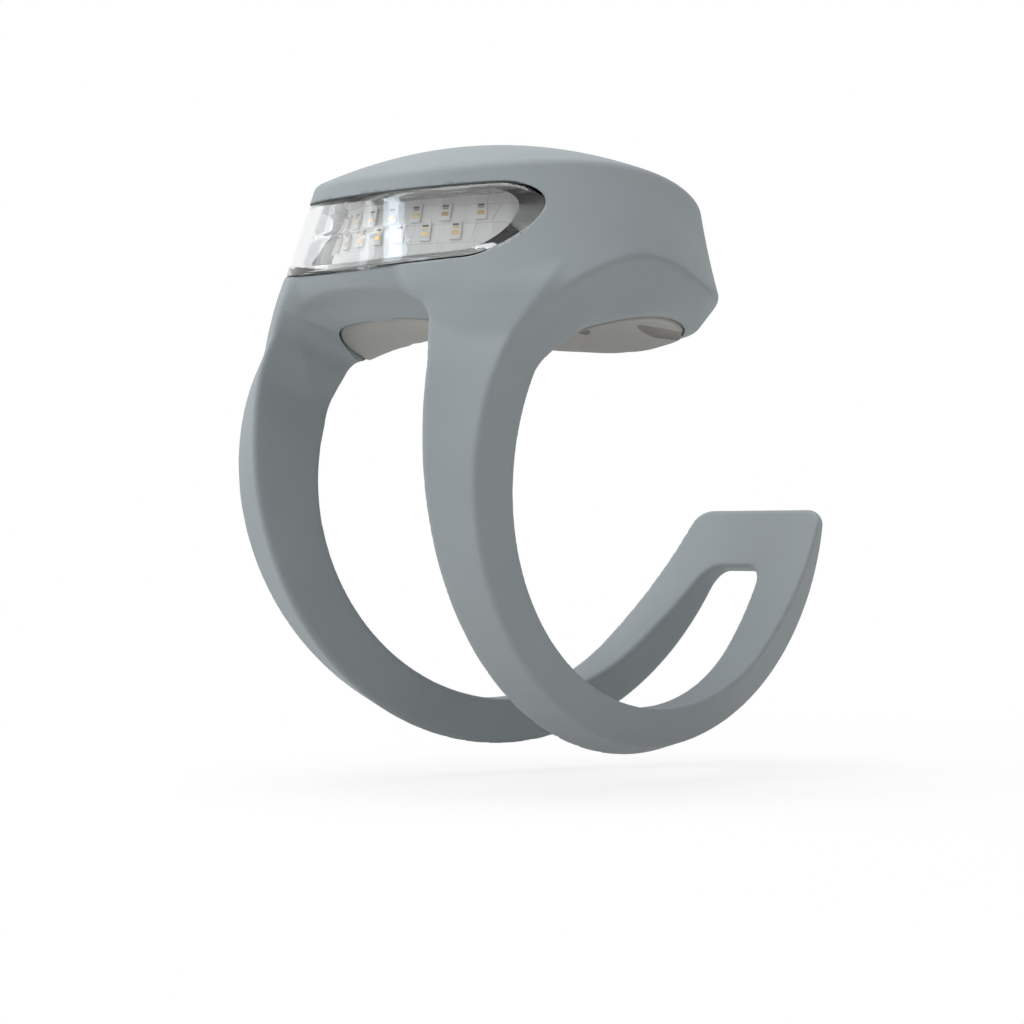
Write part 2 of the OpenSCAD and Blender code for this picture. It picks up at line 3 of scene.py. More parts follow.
import bmesh
import bpy
import numpy as np
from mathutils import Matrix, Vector


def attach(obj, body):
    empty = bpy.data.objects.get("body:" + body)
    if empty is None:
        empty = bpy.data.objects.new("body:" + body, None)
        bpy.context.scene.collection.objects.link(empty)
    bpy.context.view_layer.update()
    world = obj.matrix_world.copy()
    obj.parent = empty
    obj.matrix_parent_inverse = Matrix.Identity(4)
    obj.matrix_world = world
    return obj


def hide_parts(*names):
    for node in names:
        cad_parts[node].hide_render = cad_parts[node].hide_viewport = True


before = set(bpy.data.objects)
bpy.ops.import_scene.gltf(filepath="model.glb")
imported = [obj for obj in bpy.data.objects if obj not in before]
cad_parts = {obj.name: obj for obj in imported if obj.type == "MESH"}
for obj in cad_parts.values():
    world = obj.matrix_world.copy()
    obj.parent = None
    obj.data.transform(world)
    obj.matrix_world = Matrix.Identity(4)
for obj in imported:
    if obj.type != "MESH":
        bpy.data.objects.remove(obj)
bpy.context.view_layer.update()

# Camera: level with the lamp, off its front left corner, with a long lens as for a catalogue
# picture. Its place, aim and lens were worked out from the photograph's perspective.
MM = 0.001
camera_at = Vector((164.33, -139.67, -3.41))
aimed_at = Vector((-2.585, -3.84, -1.942))
camera_roll = -0.0027
camera_data = bpy.data.cameras.new("camera")
camera_data.sensor_width = 36
camera_data.lens = 102.9
camera_data.clip_start = 0.01
camera = bpy.data.objects.new("camera", camera_data)
camera.location = camera_at * MM
look = (aimed_at - camera_at).normalized()
camera.rotation_euler = look.to_track_quat("-Z", "Y").to_euler()
camera.rotation_euler.rotate_axis("Z", camera_roll)
bpy.context.collection.objects.link(camera)
bpy.context.scene.camera = camera


# Silicone sleeve: one liquid-silicone moulding, a skin round the pod with two arms that run down
# the front, round below the tube and join in the hook. Every edge is softly rounded by the mould.
# All its faces are formulas of the angle round the head and the angle round the loop, in mm.
def smooth(u):
    """A smooth step from 0 to 1."""
    u = np.clip(u, 0, 1)
    return u * u * (3 - 2 * u)


def soft_max(a, b, k):
    """The larger of two distances, blended where they differ by less than k."""
    h = np.maximum(k - np.abs(a - b), 0) / k
    return np.maximum(a, b) + h * h * k / 4


def soft_min(a, b, k):
    return -soft_max(-a, -b, k)


def round_max(a, b, radius):
    """The larger of two distances, with their corner rounded to a true radius."""
    u, v = np.maximum(a + radius, 0), np.maximum(b + radius, 0)
    return np.minimum(np.maximum(a, b), -radius) + np.hypot(u, v)


HEAD_Y = -6.86  # the middle of the head, from which its angles are counted, 0 at the rear
HEAD_R = 15.65
HEAD_R_Z = 15  # the height at which the head has that radius
WALL_FOOT_Z = 13.0  # below it the wall's radius no longer grows
CROWN_Z, CROWN_Y = 24.2, -7.76
CROWN_BEND_X, CROWN_BEND_Y = 0.014, 0.0195
GROOVE_R, GROOVE_Y, GROOVE_Z = 13.6, -3.4, -0.5
SLOPE_Y, SLOPE_Z, SLOPE_RISE = -11.6, 10.2, 0.21  # where the underside rises to the front


def wall_draft(t):
    return 0.324 - 0.099 * np.cos(t) - 0.196 * np.cos(2 * t)


def wall_radius(t, z):
    z = soft_max(z, WALL_FOOT_Z, 0.8)
    lobes = -0.373 * np.cos(2 * t) + 0.397 * np.cos(3 * t) + 0.118 * np.cos(4 * t)
    return HEAD_R + lobes - wall_draft(t) * (z - HEAD_R_Z)


def crown_height(x, y):
    return CROWN_Z - CROWN_BEND_X * x * x - CROWN_BEND_Y * (y - CROWN_Y) ** 2


def underside_height(x, y):
    below = np.maximum(1, GROOVE_R**2 - (y - GROOVE_Y) ** 2)
    groove = GROOVE_Z + np.sqrt(below) - 0.0122 * x * x
    slope = SLOPE_Z - 0.0128 * x * x + SLOPE_RISE * (SLOPE_Y - y)
    return np.where(y < SLOPE_Y, soft_max(groove, slope, 0.5), groove)


# The head's shoulder and lower rim and the cover's outline, at angles from the rear to the front.
shoulder_angles = [0, 50, 63, 71, 79, 87, 94, 100, 106, 112, 121, 128, 136, 146, 180]
shoulder_heights = [
    13, 13.15, 13.35, 13.9, 14.75, 15.2, 15.2, 14.8,
    14.15, 13.2, 11.3, 10.6, 10.8, 11.2, 11.4,
]
rim_angles = [0, 20, 40, 60, 75, 90, 102, 112, 122, 134, 145, 160, 180]
rim_radii = [12.65, 12.95, 13.6, 13.25, 13.05, 12.85, 12.6, 13.0, 14.1, 14.2, 13.6, 13.1, 13.05]
rim_heights = [9.5, 9.75, 10.4, 11.2, 11.4, 11.25, 10.3, 9.0, 7.6, 7.6, 8.6, 9.4, 9.6]
cover_angles = [0, 20, 40, 60, 75, 90, 105, 119, 135, 150, 165, 180]
cover_radii = [12.25, 12.5, 13.1, 12.8, 12.55, 12.15, 11.5, 10.75, 11.35, 11.6, 11, 10.5]


def along(angle, angles, values):
    """A smooth curve through values at angles, by cubic steps with averaged slopes."""
    xs, ys = np.array(angles, float), np.array(values, float)
    slopes = np.gradient(ys, xs)
    i = np.clip(np.searchsorted(xs, angle) - 1, 0, len(xs) - 2)
    w = xs[i + 1] - xs[i]
    u = (angle - xs[i]) / w
    a, b = ys[i], ys[i + 1]
    return (
        a * (1 + 2 * u) * (1 - u) ** 2
        + b * u * u * (3 - 2 * u)
        + slopes[i] * w * u * (1 - u) ** 2
        - slopes[i + 1] * w * u * u * (1 - u)
    )


def cover_radius(degrees):
    return along(degrees, cover_angles, cover_radii)


WALL_LEAN, UNDER_LEAN = 0.92, 0.93  # about the cosines of how far these faces lean


def head_field(x, y, z):
    """How far a point lies outside the head: less than 0 inside it."""
    t = np.abs(np.arctan2(x, y - HEAD_Y))
    r = np.hypot(x, y - HEAD_Y)
    degrees = np.degrees(t)
    wall = (r - wall_radius(t, z)) * WALL_LEAN
    crown_slope = (2 * CROWN_BEND_X * x) ** 2 + (2 * CROWN_BEND_Y * (y - CROWN_Y)) ** 2
    crown = (z - crown_height(x, y)) / np.sqrt(1 + crown_slope)
    # Outside the cover's edge the underside runs on level, so that the rim round the cover is even.
    inward = np.minimum(1, (cover_radius(degrees) - 0.4) / np.maximum(r, 1))
    level = underside_height(x * inward, HEAD_Y + (y - HEAD_Y) * inward)
    level = level + 0.3 * smooth((1 - inward) * 12)
    under = (soft_max(underside_height(x, y), level, 0.15) - z) * UNDER_LEAN
    high = along(degrees, shoulder_angles, shoulder_heights)
    high_r = np.minimum(wall_radius(t, high), 17.3)
    low = along(degrees, rim_angles, rim_heights)
    low_r = along(degrees, rim_angles, rim_radii)
    run, rise = high_r - low_r, high - low
    length = np.hypot(run, rise)
    chamfer = ((r - low_r) * rise - (z - low) * run) / length
    body = soft_max(soft_max(wall, crown, 0.3), chamfer, 0.35)
    return soft_max(body, under, 0.3)


LOOP_R = 16  # the loop's inside radius, round the middle of the tube
ROOT_ANGLE = 44  # angles round the loop, 0 straight up and 90 at the front
SLOT_ANGLE = 249.2
TIP_ANGLE = 264.6
FLARE, FLARE_ANGLE = 2.45, 222  # how far the tip opens outwards, and where that starts
arm_angles = [57, 85, 145, 205, 262]


def arm_curve(values, angle):
    """The one smooth curve through a value at each of the arm's angles."""
    total = 0
    for i, a in enumerate(arm_angles):
        term = values[i]
        for j, b in enumerate(arm_angles):
            if j != i:
                term = term * (angle - b) / (a - b)
        total = total + term
    return total


def arms_field(x, y, z):
    """The two arms as one band with its slot: how far outside each a point lies, and a weight
    that is 1 under the window, where the slot's edge is rounder."""
    angle = np.degrees(np.arctan2(-y, z)) % 360
    r = np.hypot(y, z)
    side = np.abs(x)
    a = np.clip(angle, 57, 266)
    # The band's section: the radii of its inside, its outer side and the slot's edge, and half the
    # widths at its outer side, the slot and its inside.
    inner_r = LOOP_R + FLARE * (np.maximum(a - FLARE_ANGLE, 0) / 40) ** 2
    side_r = np.maximum(LOOP_R + arm_curve([3.9, 4.4, 3.0, 2.9, 4.05], a), inner_r + 1.35)
    slot_r = np.maximum(LOOP_R + arm_curve([7.8, 5.9, 3.95, 3.05, 2.5], a), inner_r + 1.25)
    side_x = arm_curve([14.5, 14.05, 11.5, 8.0, 6.0], a)
    slot_x = arm_curve([9.5, 9.8, 8.35, 5.8, 1.7], a) - 0.9 * smooth((71 - angle) / 13)
    inner_x = arm_curve([12.7, 12.7, 11.2, 9.6, 7.1], a)

    def slant(x1, r1, x2, r2):
        length = np.hypot(x2 - x1, r2 - r1)
        return ((side - x1) * (r2 - r1) - (r - r1) * (x2 - x1)) / length

    inner = inner_r - r
    flank = slant(inner_x, inner_r, side_x, side_r)
    mid_x = np.minimum(slot_x, side_x - 1.5)
    across = soft_min((side_x - side) / (side_x - mid_x), 1, 0.12)
    tilt = (slot_r - side_r) / (side_x - mid_x)
    outer = (r - side_r - (slot_r - side_r) * across) / np.sqrt(1 + tilt * tilt)
    end = (angle - TIP_ANGLE) * math.pi / 180 * r
    slot_end = (angle - SLOT_ANGLE) * math.pi / 180 * r
    root = (ROOT_ANGLE - angle) * math.pi / 180 * r
    # The slot's upper end is a slanted plane under the window, where its sides also lean out.
    slot_top = (z - 7.36 + 0.408 * (8.17 + y)) * 0.926
    lean = 0.22 * np.maximum(0, 0.9 * (y + 18.3) + 0.437 * (z - 9.97)) * (angle < 100)
    slot = round_max(round_max(side - slot_x - lean, slot_end, 1.5), slot_top, 1.3)
    outline = round_max(flank, end, 1.2)
    band = soft_max(soft_max(outline, outer, 0.35), inner, 0.3)
    middle = smooth((slot_x - 0.6 - side) / 2.5)
    return np.maximum(band, root), slot, middle * smooth((84 - angle) / 20)


def sleeve_field(p):
    """The head and the arms blended, more where the arms leave it, with the slot taken out."""
    x, y, z = p[:, 0], p[:, 1], p[:, 2]
    head = head_field(x, y, z)
    arms, slot, under_window = arms_field(x, y, z)
    t = np.arctan2(x, y - HEAD_Y)
    # The blend widens with depth inside the head's wall, and at the sides where the arms leave it.
    depth = np.minimum(wall_radius(t, z), 17.2) - np.hypot(x, y - HEAD_Y)
    root = smooth((17 - z) / 6) * smooth((np.abs(x) - 7) / 6)
    joined = soft_min(head, arms, 0.2 + 0.9 * smooth((depth - 0.6) / 3) + 1.6 * root)
    return soft_max(joined, -slot, 0.4 + 3.3 * under_window)


def surface_mesh(name, field, low, high, step, rounds=3):
    """The zero surface of a field of points, in mm, as a mesh of quads whose points lie on it."""
    low, high = np.array(low, float), np.array(high, float)
    n = np.ceil((high - low) / step).astype(int) + 1
    axes = [low[i] + step * np.arange(n[i]) for i in range(3)]
    values = np.empty(n)
    for i, x in enumerate(axes[0]):
        gy, gz = np.meshgrid(axes[1], axes[2], indexing="ij")
        points = np.column_stack([np.full(gy.size, x), gy.ravel(), gz.ravel()])
        values[i] = field(points).reshape(n[1], n[2])
    # Where signs cross like a chequerboard the surface would touch itself: fill one corner.
    for axis in (0, 1, 2, 0, 1, 2):
        v = np.moveaxis(values, axis, 0)
        a, b, c, d = v[:, :-1, :-1], v[:, 1:, :-1], v[:, :-1, 1:], v[:, 1:, 1:]
        crossed = ((a < 0) == (d < 0)) & ((b < 0) == (c < 0)) & ((a < 0) != (b < 0))
        one, other = crossed & (a < 0), crossed & (b < 0)
        b[one] = -0.001
        a[other] = -0.001
    inside = values < 0
    corner = [(i, j, k) for i in (0, 1) for j in (0, 1) for k in (0, 1)]

    def shifted(grid, c):
        return grid[c[0] : n[0] - 1 + c[0], c[1] : n[1] - 1 + c[1], c[2] : n[2] - 1 + c[2]]

    # One point in each cell that the surface passes, at the mean of where it cuts the edges.
    count = sum(shifted(inside, c).astype(int) for c in corner)
    mixed = (count > 0) & (count < 8)
    cells = np.argwhere(mixed)
    index = -np.ones(mixed.shape, int)
    index[mixed] = np.arange(len(cells))
    total, crossings = np.zeros((len(cells), 3)), np.zeros(len(cells))
    for c in corner:
        for axis in range(3):
            if c[axis]:
                continue
            d = list(c)
            d[axis] = 1
            va, vb = shifted(values, c)[mixed], shifted(values, tuple(d))[mixed]
            cross = (va < 0) != (vb < 0)
            u = np.where(cross, va / np.where(cross, va - vb, 1), 0)
            p = np.tile(np.array(c, float), (len(cells), 1))
            p[:, axis] += u
            total[cross] += p[cross]
            crossings += cross
    points = low + step * (cells + total / crossings[:, None])
    # One quad round each grid edge that the surface cuts, facing outwards.
    quads = []
    for axis in range(3):
        b, c = (axis + 1) % 3, (axis + 2) % 3
        one = [slice(1, -1)] * 3
        one[axis] = slice(0, -1)
        two = list(one)
        two[axis] = slice(1, None)
        first, second = inside[tuple(one)], inside[tuple(two)]
        at = np.argwhere(first != second) + 1
        at[:, axis] -= 1
        out = inside[at[:, 0], at[:, 1], at[:, 2]]
        ring = []
        for db, dc in ((-1, -1), (0, -1), (0, 0), (-1, 0)):
            q = at.copy()
            q[:, b] += db
            q[:, c] += dc
            ring.append(index[q[:, 0], q[:, 1], q[:, 2]])
        ring = np.array(ring).T
        ring[~out] = ring[~out][:, ::-1]
        quads.append(ring)
    quads = np.vstack(quads)
    # Spread the points evenly between their neighbours, and pull them onto the surface.
    small = step * 0.05
    pairs = np.vstack([quads[:, [i, (i + 1) % 4]] for i in range(4)])
    shares = sum(np.bincount(pairs[:, i], minlength=len(points)) for i in (0, 1))
    for turn in range(rounds):
        if turn:
            spread = np.zeros_like(points)
            for axis in range(3):
                spread[:, axis] = np.bincount(pairs[:, 0], points[pairs[:, 1], axis], len(points))
                spread[:, axis] += np.bincount(pairs[:, 1], points[pairs[:, 0], axis], len(points))
            points += 0.5 * (spread / shares[:, None] - points)
        for _ in range(2):
            f = field(points)
            slope = np.empty_like(points)
            for axis in range(3):
                move = np.zeros(3)
                move[axis] = small
                slope[:, axis] = (field(points + move) - field(points - move)) / (2 * small)
            size = np.maximum((slope**2).sum(1), 0.25)
            pull = -(f / size)[:, None] * slope
            length = np.linalg.norm(pull, axis=1, keepdims=True)
            points += pull * np.minimum(1, 0.4 * step / np.maximum(length, 1e-9))
    mesh = bpy.data.meshes.new(name)
    mesh.from_pydata((points * MM).tolist(), [], quads.tolist())
    mesh.polygons.foreach_set("use_smooth", [True] * len(quads))
    mesh.update()
    return mesh


def new_object(mesh):
    made = bpy.data.objects.new(mesh.name, mesh)
    bpy.context.collection.objects.link(made)
    return made


def closed_loft(name, rings):
    """A closed solid through rings of points in mm, with a fan at either end."""
    bm = bmesh.new()
    rows = [[bm.verts.new(Vector(p) * MM) for p in ring] for ring in rings]
    count = len(rows[0])
    for one, two in zip(rows, rows[1:]):
        for i in range(count):
            j = (i + 1) % count
            bm.faces.new((one[i], one[j], two[j], two[i]))
    bm.faces.new(rows[0][::-1])
    bm.faces.new(rows[-1])
    bmesh.ops.recalc_face_normals(bm, faces=bm.faces)
    mesh = bpy.data.meshes.new(name)
    bm.to_mesh(mesh)
    bm.free()
    return mesh


def cut(target, cutter_mesh):
    """Cuts a solid out of an object for good."""
    cutter = new_object(cutter_mesh)
    tool = target.modifiers.new("cut", "BOOLEAN")
    tool.operation = "DIFFERENCE"
    tool.solver = "EXACT"
    tool.object = cutter
    depsgraph = bpy.context.evaluated_depsgraph_get()
    result = bpy.data.meshes.new_from_object(target.evaluated_get(depsgraph))
    target.modifiers.remove(tool)
    old = target.data
    target.data = result
    result.name = old.name
    bpy.data.meshes.remove(old)
    bpy.data.objects.remove(cutter)


def mend(piece):
    """Joins points that touch after the cuts and drops pairs of faces that lie back to back."""
    bm = bmesh.new()
    bm.from_mesh(piece.data)
    bmesh.ops.remove_doubles(bm, verts=bm.verts, dist=1e-5)
    bmesh.ops.dissolve_degenerate(bm, dist=1e-6, edges=bm.edges)
    bmesh.ops.triangulate(bm, faces=[face for face in bm.faces if len(face.verts) > 4])
    bm.verts.index_update()
    same = {}
    for face in bm.faces:
        same.setdefault(frozenset(v.index for v in face.verts), []).append(face)
    flaps = [face for group in same.values() if len(group) > 1 for face in group]
    bmesh.ops.delete(bm, geom=flaps, context="FACES")
    bm.to_mesh(piece.data)
    bm.free()


WINDOW = (12.95, 2.675, 2.6)  # half its width, half its height and its corners' radius
WINDOW_Z, WINDOW_RISE = 17.175, 0.0045


def window_points(outline, per_corner=12, per_edge=18):
    """An outline seen from the front: a rounded oblong whose ends rise a little."""
    w, h, r = outline
    flat = []
    for quarter in range(4):
        cx = (w - r) * (1 if quarter in (0, 3) else -1)
        cz = (h - r) * (1 if quarter < 2 else -1)
        for i in range(per_corner + 1):
            a = math.pi / 2 * (quarter + i / per_corner)
            flat.append((cx + r * math.cos(a), cz + r * math.sin(a)))
        if quarter in (0, 2):
            side = 1 if quarter == 0 else -1
            for i in range(1, per_edge):
                flat.append((side * (w - r) * (1 - 2 * i / per_edge), side * h))
    return [(x, WINDOW_Z + z + WINDOW_RISE * x * x) for x, z in flat]


def plan_ring(radius_of, z_of, count=72):
    """A ring of points round the head, from the rear, with a radius and height for each angle."""
    ring = []
    for i in range(count):
        t = 2 * math.pi * i / count
        z = z_of(t)
        r = radius_of(t, z)
        ring.append((-r * math.sin(t), HEAD_Y + r * math.cos(t), z))
    return ring


def pod_rings(inset, drop, low_z, foot_r):
    """Rings of the pod's outside, drawn in by an inset, from its foot up over the crown."""
    rings = [
        plan_ring(lambda t, z: min(foot_r, wall_radius(t, z) - inset), lambda t: low_z),
        plan_ring(lambda t, z: wall_radius(t, z) - inset, lambda t: 15.3),
    ]
    # The wall's upper edge, where it meets the crown, is found in a few steps from a guess.
    edge = []
    for p in plan_ring(lambda t, z: wall_radius(t, z) - inset, lambda t: 21.0):
        t = math.atan2(-p[0], p[1] - HEAD_Y)
        z = 21.0
        for _ in range(6):
            r = wall_radius(t, z) - inset
            z = crown_height(-r * math.sin(t), HEAD_Y + r * math.cos(t)) - drop
        edge.append((t, wall_radius(t, z) - inset))
    for share in (1.0, 0.75, 0.5, 0.25):
        ring = []
        for t, r in edge:
            x, y = -share * r * math.sin(t), HEAD_Y + share * r * math.cos(t)
            ring.append((x, y, crown_height(x, y) - drop))
        rings.append(ring)
    return rings


def cover_ring(z, gap, count=144):
    """The cover's outline at a height, with a gap added all round."""

    def radius(t, _):
        degrees = math.degrees(t)
        return float(cover_radius(min(degrees, 360 - degrees))) + gap

    return plan_ring(radius, lambda t: z, count)


SKIN, CROWN_SKIN = 1.3, 1.0  # how thick the skin is
CAVITY_FOOT_Z, CAVITY_FOOT_R = 13.45, 13.6
COVER_GAP = 0.12
sleeve_step = 0.25
sleeve_low, sleeve_high = (-17.5, -25.5, -21.5), (17.5, 21.5, 25.2)
sleeve = new_object(
    surface_mesh("silicone_skin", sleeve_field, sleeve_low, sleeve_high, sleeve_step)
)
cavity = pod_rings(SKIN, CROWN_SKIN, CAVITY_FOOT_Z, CAVITY_FOOT_R)
cut(sleeve, closed_loft("cavity", cavity))
cut(sleeve, closed_loft("cover_opening", [cover_ring(z, COVER_GAP) for z in (5, 13.5)]))
window_cutter = [[(x, y, z) for x, z in window_points(WINDOW)] for y in (-9.0, -27.0)]
cut(sleeve, closed_loft("window_opening", window_cutter))
mend(sleeve)
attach(sleeve, "light")
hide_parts("silicone_sleeve")


def colour(hex_code):
    """An sRGB hex value as linear red, green, blue and alpha."""
    parts = [int(hex_code[i : i + 2], 16) / 255 for i in (1, 3, 5)]
    return [c / 12.92 if c <= 0.04045 else ((c + 0.055) / 1.055) ** 2.4 for c in parts] + [1]


def new_material(name, **values):
    """A material with its surface shader's sockets set."""
    material = bpy.data.materials.new(name)
    material.use_nodes = True
    shader = material.node_tree.nodes["Principled BSDF"]
    for key, value in values.items():
        shader.inputs[key.replace("_", " ")].default_value = value
    return material, shader


def add(owner, kind, settings=None, links=None, **values):
    """Adds one node to a material, a world or a tree, sets it, and links its inputs."""
    tree = getattr(owner, "node_tree", owner)
    node = tree.nodes.new(kind)
    for key, value in (settings or {}).items():
        setattr(node, key, value)
    for key, value in values.items():
        node.inputs[key.replace("_", " ")].default_value = value
    for key, output in (links or {}).items():
        tree.links.new(output, node.inputs[key])
    return node


def finish_piece(piece, material):
    piece.data.materials.clear()
    piece.data.materials.append(material)


# Liquid silicone from a spark-eroded mould: matt, with a very fine grain and faint cloudy shades.
# The grain is about 0.12 mm, drawn coarse enough to show, and the clouds are about 6 mm.
silicone, shader = new_material("moulded_silicone", Roughness=0.62, IOR=1.41)
place = add(silicone, "ShaderNodeTexCoord")
on_piece = {"Vector": place.outputs["Object"]}
clouds = add(silicone, "ShaderNodeTexNoise", links=on_piece, Scale=160, Detail=3)
tint = add(silicone, "ShaderNodeMix", {"data_type": "RGBA"}, {0: clouds.outputs["Fac"]})
tint.inputs[6].default_value = colour("#868D90")
tint.inputs[7].default_value = colour("#91989B")
grain = add(silicone, "ShaderNodeTexNoise", links=on_piece, Scale=8000, Detail=2)
bump = add(silicone, "ShaderNodeBump", links={"Height": grain.outputs["Fac"]}, Strength=0.12)
bump.inputs["Distance"].default_value = 0.02 * MM
silicone.node_tree.links.new(tint.outputs[2], shader.inputs["Base Color"])
silicone.node_tree.links.new(bump.outputs["Normal"], shader.inputs["Normal"])
finish_piece(sleeve, silicone)


# Lens: injection-moulded clear plastic, a thick front with a rim that runs back to the light board.
# It is pressed into the housing from the front and lies flush with the silicone.
def front_y(x, z, inset):
    """The place along Y of the pod's front wall, drawn in by an inset, at a point of the front."""
    y = HEAD_Y - 15.0
    for _ in range(30):
        t = math.atan2(abs(x), y - HEAD_Y)
        r = float(wall_radius(t, z)) - inset
        y = HEAD_Y - math.sqrt(max(r * r - x * x, 0.01))
    return y


def lens_ring(bm, outline, inset):
    """A ring of points on the pod's front wall round an outline, drawn in by an inset."""
    return [
        bm.verts.new(Vector((x, front_y(x, z, inset), z)) * MM) for x, z in window_points(outline)
    ]


def lens_face(bm, outline, inset, steps=9):
    """Rings from an edge in to the middle, closed with one last face."""
    half, high, corner = outline
    rings = []
    for i in range(steps + 1):
        share = 1 - 0.97 * i / steps
        smaller = (half * (0.25 + 0.75 * share), high * share, corner * share)
        rings.append(lens_ring(bm, smaller, inset))
    for one, two in zip(rings, rings[1:]):
        bridge(bm, one, two)
    bm.faces.new(rings[-1])
    return rings[0]


INKED_X = 11.8 * MM  # the rim's ends beyond this are inked
PALE_PAINT_Z = 16.4 * MM  # and below this its lower side is painted pale, as painted light


def bridge(bm, one, two, rim=False):
    """A band of faces between two rings, with the rim's grey ink and its pale painted light where
    it is the rim.
    """
    for i in range(len(one)):
        j = (i + 1) % len(one)
        face = bm.faces.new((one[i], one[j], two[j], two[i]))
        if rim and abs(one[i].co.x) > INKED_X:
            face.material_index = 1
        elif rim and one[i].co.z < PALE_PAINT_Z:
            # The rim's lower side takes the pale paint, a painted light for the light bent through
            # the lens.
            face.material_index = 2


LENS_SEAM = (12.88, 2.605, 2.53)
LENS_SHOULDER = (12.8, 2.53, 2.46)
LENS_FRONT = (12.62, 2.38, 2.3)
LENS_POCKET = (11.3, 2.12, 1.95)
RIM_BACK = 3.02  # how far the rim runs back from the pod's front wall
bm = bmesh.new()
seam = lens_ring(bm, LENS_SEAM, 0.3)
shoulder = lens_ring(bm, LENS_SHOULDER, 0.1)
front = lens_face(bm, LENS_FRONT, 0.03)
behind = lens_face(bm, LENS_POCKET, 1.0)
seam_back = lens_ring(bm, LENS_SEAM, RIM_BACK)
pocket_back = lens_ring(bm, LENS_POCKET, RIM_BACK)
bridge(bm, shoulder, front)
bridge(bm, seam, shoulder)
bridge(bm, seam, seam_back, True)
bridge(bm, seam_back, pocket_back, True)
bridge(bm, pocket_back, behind)
bmesh.ops.recalc_face_normals(bm, faces=bm.faces)
lens_mesh = bpy.data.meshes.new("clear_lens")
bm.to_mesh(lens_mesh)
bm.free()
lens_mesh.polygons.foreach_set("use_smooth", [True] * len(lens_mesh.polygons))
lens_mesh.set_sharp_from_angle(angle=math.radians(24))
lens = new_object(lens_mesh)
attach(lens, "light")
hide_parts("lens")


def dress(node, material):
    """Gives a CAD node its finish."""
    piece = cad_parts[node]
    if piece.material_slots:
        piece.material_slots[0].material = material
    else:
        piece.data.materials.append(material)


def mottled(name, hex_low, hex_high, scale, bump_mm=0.0, detail=3, **values):
    """A finish with two close shades and a fine surface, from a noise of so many grains a metre."""
    material, surface = new_material(name, **values)
    where = add(material, "ShaderNodeTexCoord")
    on_it = {"Vector": where.outputs["Object"]}
    noise = add(material, "ShaderNodeTexNoise", links=on_it, Scale=scale, Detail=detail)
    mix = add(material, "ShaderNodeMix", {"data_type": "RGBA"}, {0: noise.outputs["Fac"]})
    mix.inputs[6].default_value = colour(hex_low)
    mix.inputs[7].default_value = colour(hex_high)
    material.node_tree.links.new(mix.outputs[2], surface.inputs["Base Color"])
    if bump_mm:
        height = {"Height": noise.outputs["Fac"]}
        rough = add(material, "ShaderNodeBump", links=height, Strength=0.4, Distance=bump_mm * MM)
        material.node_tree.links.new(rough.outputs["Normal"], surface.inputs["Normal"])
    return material


# Clear polycarbonate, polished in the mould: it only bends and reflects light.
clear, shader = new_material("clear_polycarbonate", Roughness=0.02, IOR=1.52)
shader.inputs["Transmission Weight"].default_value = 1.0
shader.inputs["Base Color"].default_value = colour("#F4F6F7")
finish_piece(lens, clear)

# The ends of the rim are backed with grey ink, so that the housing's edge doesn't show through,
# and its lower side is painted pale: painted light for the light that the lens bends along its
# lower edge.
ink = mottled("smoke_grey_ink", "#6C6D6E", "#909193", 1200, detail=1, Roughness=0.35, IOR=1.5)
rim_light_paint = mottled("rim_painted_light", "#D6D8D9", "#E2E4E5", 3000, 0.01, Roughness=0.6, IOR=1.52)
lens.data.materials.append(ink)
lens.data.materials.append(rim_light_paint)


# Housing: black ABS, injection moulded with a fine spark texture, pushed into the sleeve from
# below. Its wall shows as the dark edge round the lens. The texture is 0.1 mm, for close views.
housing_black = mottled("black_abs", "#1B1C1E", "#26282A", 9000, 0.01, Roughness=0.45, IOR=1.53)
dress("housing", housing_black)

# Light board: a thin white-masked circuit bent to the lens, with copper tracks that show faintly
# through the mask. They are drawn 0.1 mm wide, in rows 1.35 mm apart with a crossing every 4 mm.
mask, shader = new_material("white_solder_mask", Roughness=0.38, IOR=1.5)
place = add(mask, "ShaderNodeTexCoord")
upright = add(mask, "ShaderNodeMapping", links={"Vector": place.outputs["Object"]})
upright.inputs["Rotation"].default_value = (math.pi / 2, 0, 0)
tracks = add(
    mask,
    "ShaderNodeTexBrick",
    {"offset": 0.37, "squash": 0.6},
    {"Vector": upright.outputs["Vector"]},
    Scale=1000,
)
for key, value in (
    ("Brick Width", 4.0),
    ("Row Height", 1.35),
    ("Mortar Size", 0.05),
    ("Mortar Smooth", 0.5),
    ("Color1", colour("#F1EFEB")),
    ("Color2", colour("#EDEBE7")),
    ("Mortar", colour("#DEDCD7")),
):
    tracks.inputs[key].default_value = value
mask.node_tree.links.new(tracks.outputs["Color"], shader.inputs["Base Color"])
dress("led_board", mask)

# Carrier: ivory PBT, moulded, that backs the light board and clips into the housing. It is hidden
# behind the board, and its fine grain is 0.3 mm.
carrier_ivory = mottled("ivory_pbt", "#CFCBC2", "#D8D4CC", 3000, 0.01, Roughness=0.5, IOR=1.57)
dress("board_carrier", carrier_ivory)


# Lights: two rows of surface-mounted chips, each a clear moulded body over gold pads and a dark
# die. A body shows 0.76 x 1.3 mm on the photo at the scale used. They are soldered on 2 mm apart
# and stand square on the bent board.
def board_point(x, z, depth):
    """A point on the bent board, with the way it faces round the head and how far it leans."""
    y = front_y(x, z, depth)
    t = math.atan2(abs(x), y - HEAD_Y)
    return (x, y, z), math.copysign(math.pi - t, x), -math.atan(wall_draft(t))


def socket(tree, name, kind="NodeSocketFloat"):
    return tree.interface.new_socket(name=name, in_out="INPUT", socket_type=kind)


